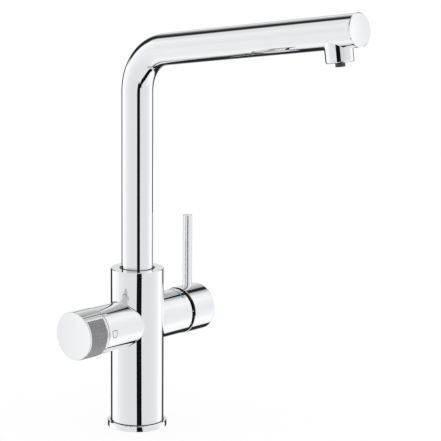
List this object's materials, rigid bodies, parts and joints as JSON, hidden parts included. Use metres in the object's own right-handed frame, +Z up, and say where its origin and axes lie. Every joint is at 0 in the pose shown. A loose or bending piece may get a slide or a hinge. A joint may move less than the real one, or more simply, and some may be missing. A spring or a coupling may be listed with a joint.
{
  "type": "water filter kitchen tap",
  "caption": "Deck-mounted kitchen tap with a swivel tube spout, a side lever mixer and a knob for filtered water through its own nozzle.",
  "frame": {"origin": "centre of the base ring's underside, on the worktop's upper face", "axes": "+Z up the column, -Y along the spout at rest, +X to the mixer lever and -X to the filtered-water knob"},
  "size_m": [0.1603, 0.2741, 0.4499],
  "materials": {
    "polished_chrome": "polished",
    "knob_face_chrome": "polished",
    "knurled_chrome": "fine straight knurl",
    "raw_brass": "machined",
    "fixing_steel": "zinc plated",
    "inner_steel": "plain",
    "black_rubber": "matt",
    "gasket_fibre": "matt",
    "valve_ceramic": "lapped",
    "cartridge_plastic": "moulded",
    "black_plastic": "satin",
    "grey_plastic": "satin",
    "knob_core_plastic": "moulded",
    "water_tube_plastic": "smooth"
  },
  "bodies": {
    "root": {"column_body": "polished_chrome", "inlet_body": "raw_brass", "base_ring": "polished_chrome", "base_gasket": "black_rubber", "fixing_stud": "fixing_steel", "rubber_horseshoe": "black_rubber", "steel_horseshoe": "fixing_steel", "fixing_nut": "fixing_steel", "spout_glide_ring": "black_plastic", "spout_lock_screw": "inner_steel", "filter_tube_o_ring": "black_rubber", "filter_seat_seal": "black_rubber", "filter_disc_fixed": "valve_ceramic", "filter_headpart_body": "raw_brass", "filter_headpart_gasket": "gasket_fibre", "mixer_port_seals": "black_rubber", "cartridge_base": "cartridge_plastic", "mixer_disc_fixed": "valve_ceramic", "cartridge_shell": "cartridge_plastic", "cartridge_nut": "raw_brass", "gap_dome": "black_plastic", "filter_glide_ring": "black_plastic"},
    "spout": {"spout_tube": "polished_chrome", "spout_spigot": "raw_brass", "spout_o_ring_lower": "black_rubber", "spout_o_ring_upper": "black_rubber", "spout_end_cap": "polished_chrome", "outlet_collar": "polished_chrome", "aerator_housing": "raw_brass", "aerator_insert": "grey_plastic", "filter_nozzle": "grey_plastic", "outlet_elbow": "water_tube_plastic", "filter_water_tube": "water_tube_plastic"},
    "filter_knob": {"filter_disc_turning": "valve_ceramic", "filter_spindle": "raw_brass", "filter_spindle_o_ring": "black_rubber", "filter_spindle_clip": "inner_steel", "filter_knob_insert": "knob_core_plastic", "filter_knob_sleeve": "knurled_chrome", "filter_knob_disc": "knob_face_chrome", "filter_knob_screw": "inner_steel"},
    "lever_carrier": {"lever_carrier": "cartridge_plastic", "pivot_pin": "inner_steel"},
    "mixing_disc": {"mixer_disc_moving": "valve_ceramic", "disc_driver": "cartridge_plastic"},
    "lever": {"lever_stem": "inner_steel", "lever_cap": "polished_chrome", "cap_liner_ring": "black_plastic", "lever_rod": "polished_chrome", "lever_cap_screw": "inner_steel"}
  },
  "joints": [
    {"name": "spout_swivel", "type": "hinge", "parent": "root", "child": "spout", "pos_m": [0, 0, 0.13], "axis": [0, 0, 1], "range_deg": [-75, 75]},
    {"name": "filter_turn", "type": "hinge", "parent": "root", "child": "filter_knob", "pos_m": [0, 0, 0.096], "axis": [1, 0, 0], "range_deg": [0, 90]},
    {"name": "lever_turn", "type": "hinge", "parent": "root", "child": "lever_carrier", "pos_m": [0, 0, 0.096], "axis": [1, 0, 0], "range_deg": [-45, 45]},
    {"name": "lever_tilt", "type": "hinge", "parent": "lever_carrier", "child": "lever", "pos_m": [0.05, 0, 0.0875], "axis": [0, 1, 0], "range_deg": [0, 11]},
    {"name": "disc_slide", "type": "slide", "parent": "lever_carrier", "child": "mixing_disc", "axis": [0, 0, 1], "range_m": [0, 0.00376]}
  ],
  "couplings": [
    {"joint": "disc_slide", "follows": "lever_tilt", "m_per_rad": 0.01956}
  ]
}
